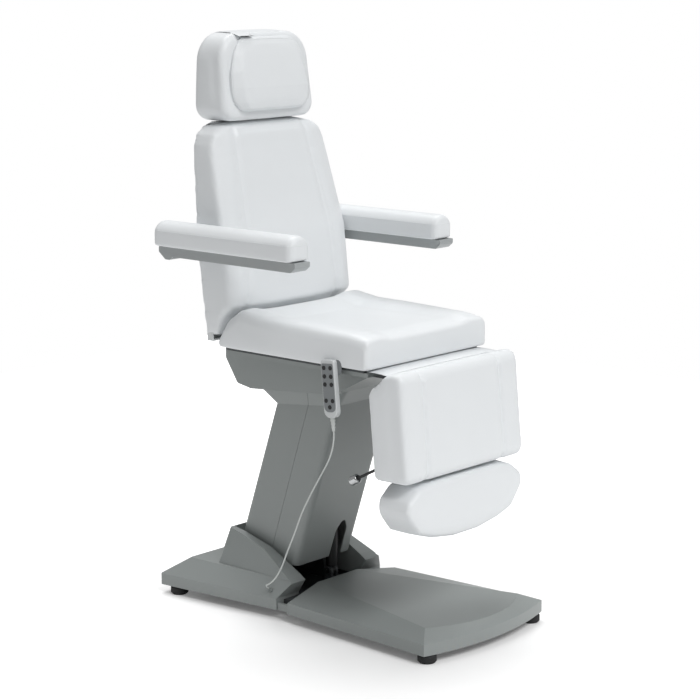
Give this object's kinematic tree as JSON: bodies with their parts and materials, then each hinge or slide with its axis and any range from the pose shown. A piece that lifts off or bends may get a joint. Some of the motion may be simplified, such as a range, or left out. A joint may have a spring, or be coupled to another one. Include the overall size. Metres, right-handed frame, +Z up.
{
  "type": "podiatry chair",
  "caption": "Powered treatment chair on a leaning lift column, with a reclining backrest, headrest, folding armrests, hinged legrest, sliding footrest and wired handset.",
  "frame": {"origin": "on the floor under the middle of the base and armrests", "axes": "+Z up, -Y the way that the sitter faces, +X to the sitter's left"},
  "size_m": [0.688, 1.0419, 1.6346],
  "materials": {
    "frame_steel": "dark grey powder coat, satin",
    "cover_white": "white thermoformed plastic, satin",
    "cover_grey": "mid grey thermoformed plastic, satin",
    "plastic_white": "white moulded plastic",
    "foot_black": "black rubber",
    "plastic_black": "black moulded plastic",
    "pin_steel": "bright steel",
    "rod_steel": "hard chrome rod",
    "bush_brass": "sintered bronze",
    "cord_grey": "light grey cable sheath",
    "bracket_grey": "grey powder coat",
    "handset_grey": "light grey moulded plastic",
    "face_dark": "dark grey keypad",
    "button_black": "black rubber keys",
    "upholstery_white": "white vinyl upholstery, satin",
    "strap_white": "white strap",
    "rail_grey": "light grey satin paint",
    "lever_black": "black paint",
    "knob_silver": "silver grey plastic"
  },
  "bodies": {
    "base": {"base_frame": "frame_steel", "front_cover": "cover_grey", "rear_cover": "cover_grey", "levelling_feet": "foot_black", "control_box": "plastic_black", "mains_inlet": "plastic_black", "base_pins": "pin_steel", "cord_gland": "plastic_white"},
    "lift_arm": {"lift_arm": "frame_steel", "arm_bushes": "bush_brass", "column_front_cover": "cover_grey", "column_rear_cover": "cover_grey"},
    "tie_link": {"tie_link": "frame_steel"},
    "lift_actuator": {"lift_actuator": "plastic_black"},
    "lift_actuator_rod": {"lift_actuator_rod": "rod_steel"},
    "carrier": {"seat_carrier": "frame_steel", "carrier_pins": "pin_steel"},
    "seat": {"seat_frame": "frame_steel", "hinge_pins": "pin_steel", "seat_housing": "cover_grey", "legrest_flap": "upholstery_white", "seat_cushion": "upholstery_white", "tilt_actuator": "plastic_black", "back_actuator": "plastic_black", "handset_hook": "bracket_grey", "handset_shell": "handset_grey", "handset_face": "face_dark", "cord_strain_relief": "cord_grey", "handset_cord": "cord_grey"},
    "tilt_actuator_rod": {"tilt_actuator_rod": "rod_steel"},
    "back_actuator_rod": {"back_actuator_rod": "rod_steel"},
    "back": {"back_frame": "frame_steel", "back_shell": "cover_white", "back_cushion": "upholstery_white", "armrest_bolts": "pin_steel"},
    "head_bars": {"head_bars": "rod_steel"},
    "headrest": {"head_plate": "frame_steel", "head_cushion": "upholstery_white", "head_pillow": "upholstery_white", "pillow_strap": "strap_white"},
    "left_armrest": {"left_arm_rail": "rail_grey", "left_arm_pad": "upholstery_white"},
    "right_armrest": {"right_arm_rail": "rail_grey", "right_arm_pad": "upholstery_white"},
    "legrest": {"legrest_frame": "frame_steel", "legrest_cushion": "upholstery_white"},
    "footrest": {"footrest_frame": "frame_steel", "footrest_cushion": "upholstery_white"},
    "release_lever": {"release_lever": "lever_black", "release_knob": "knob_silver"},
    "button_1": {"button_1": "button_black"},
    "button_2": {"button_2": "button_black"},
    "button_3": {"button_3": "button_black"},
    "button_4": {"button_4": "button_black"},
    "button_5": {"button_5": "button_black"},
    "button_6": {"button_6": "button_black"},
    "button_7": {"button_7": "button_black"},
    "button_8": {"button_8": "button_black"},
    "button_9": {"button_9": "button_black"}
  },
  "joints": [
    {"name": "lift", "type": "hinge", "parent": "base", "child": "lift_arm", "pos_m": [0, 0.235, 0.12], "axis": [-1, 0, 0], "range_deg": [-38, 0], "deforming": ["handset_cord"]},
    {"name": "level", "type": "hinge", "parent": "lift_arm", "child": "carrier", "pos_m": [0, 0.0774, 0.60504], "axis": [-1, 0, 0], "range_deg": [0, 38]},
    {"name": "tie_turn", "type": "hinge", "parent": "base", "child": "tie_link", "pos_m": [0, 0.283, 0.156], "axis": [-1, 0, 0], "range_deg": [-38, 0]},
    {"name": "actuator_turn", "type": "hinge", "parent": "base", "child": "lift_actuator", "pos_m": [0.048, 0.125, 0.075], "axis": [-1, 0, 0], "range_deg": [-38, 0]},
    {"name": "actuator_stroke", "type": "slide", "parent": "lift_actuator", "child": "lift_actuator_rod", "axis": [0, -0.0312, 0.9995], "range_m": [-0.09, 0]},
    {"name": "seat_tilt", "type": "hinge", "parent": "carrier", "child": "seat", "pos_m": [0, 0.13, 0.722], "axis": [-1, 0, 0], "range_deg": [0, 12], "deforming": ["handset_cord"]},
    {"name": "tilt_stroke", "type": "slide", "parent": "seat", "child": "tilt_actuator_rod", "axis": [0, -1, 0], "range_m": [-0.01, 0.01]},
    {"name": "back_recline", "type": "hinge", "parent": "seat", "child": "back", "pos_m": [0, 0.291, 0.745], "axis": [-1, 0, 0], "range_deg": [0, 72]},
    {"name": "back_stroke", "type": "slide", "parent": "seat", "child": "back_actuator_rod", "axis": [0, -1, 0], "range_m": [0, 0.04]},
    {"name": "headrest_height", "type": "slide", "parent": "back", "child": "head_bars", "axis": [0, 0.1264, 0.992], "range_m": [0, 0.09]},
    {"name": "headrest_tilt", "type": "hinge", "parent": "head_bars", "child": "headrest", "pos_m": [0, 0.40101, 1.478], "axis": [-1, 0, 0], "range_deg": [0, 25]},
    {"name": "left_armrest_fold", "type": "hinge", "parent": "back", "child": "left_armrest", "pos_m": [0.3055, 0.395, 1.025], "axis": [-1, 0, 0], "range_deg": [0, 90]},
    {"name": "right_armrest_fold", "type": "hinge", "parent": "back", "child": "right_armrest", "pos_m": [-0.3055, 0.395, 1.025], "axis": [-1, 0, 0], "range_deg": [0, 90]},
    {"name": "legrest_swing", "type": "hinge", "parent": "seat", "child": "legrest", "pos_m": [0, -0.29, 0.745], "axis": [-1, 0, 0], "range_deg": [0, 80]},
    {"name": "footrest_slide", "type": "slide", "parent": "legrest", "child": "footrest", "axis": [0, -0.0898, -0.996], "range_m": [0, 0.1]},
    {"name": "release_turn", "type": "hinge", "parent": "legrest", "child": "release_lever", "pos_m": [-0.229, -0.302, 0.506], "axis": [1, 0, 0], "range_deg": [0, 20]},
    {"name": "button_1_press", "type": "slide", "parent": "seat", "child": "button_1", "axis": [1, 0, 0], "range_m": [0, 0.001], "stiffness_N_per_m": 400, "springref_m": -0.0005},
    {"name": "button_2_press", "type": "slide", "parent": "seat", "child": "button_2", "axis": [1, 0, 0], "range_m": [0, 0.001], "stiffness_N_per_m": 400, "springref_m": -0.0005},
    {"name": "button_3_press", "type": "slide", "parent": "seat", "child": "button_3", "axis": [1, 0, 0], "range_m": [0, 0.001], "stiffness_N_per_m": 400, "springref_m": -0.0005},
    {"name": "button_4_press", "type": "slide", "parent": "seat", "child": "button_4", "axis": [1, 0, 0], "range_m": [0, 0.001], "stiffness_N_per_m": 400, "springref_m": -0.0005},
    {"name": "button_5_press", "type": "slide", "parent": "seat", "child": "button_5", "axis": [1, 0, 0], "range_m": [0, 0.001], "stiffness_N_per_m": 400, "springref_m": -0.0005},
    {"name": "button_6_press", "type": "slide", "parent": "seat", "child": "button_6", "axis": [1, 0, 0], "range_m": [0, 0.001], "stiffness_N_per_m": 400, "springref_m": -0.0005},
    {"name": "button_7_press", "type": "slide", "parent": "seat", "child": "button_7", "axis": [1, 0, 0], "range_m": [0, 0.001], "stiffness_N_per_m": 400, "springref_m": -0.0005},
    {"name": "button_8_press", "type": "slide", "parent": "seat", "child": "button_8", "axis": [1, 0, 0], "range_m": [0, 0.001], "stiffness_N_per_m": 400, "springref_m": -0.0005},
    {"name": "button_9_press", "type": "slide", "parent": "seat", "child": "button_9", "axis": [1, 0, 0], "range_m": [0, 0.001], "stiffness_N_per_m": 400, "springref_m": -0.0005}
  ],
  "couplings": [
    {"joint": "level", "follows": "lift", "ratio": -1},
    {"joint": "tie_turn", "follows": "lift", "ratio": 1},
    {"joint": "actuator_turn", "follows": "lift", "ratio": 0.9665},
    {"joint": "actuator_stroke", "follows": "lift", "m_per_rad": 0.11635},
    {"joint": "tilt_stroke", "follows": "seat_tilt", "m_per_rad": -0.036},
    {"joint": "back_stroke", "follows": "back_recline", "m_per_rad": 0.02422}
  ]
}
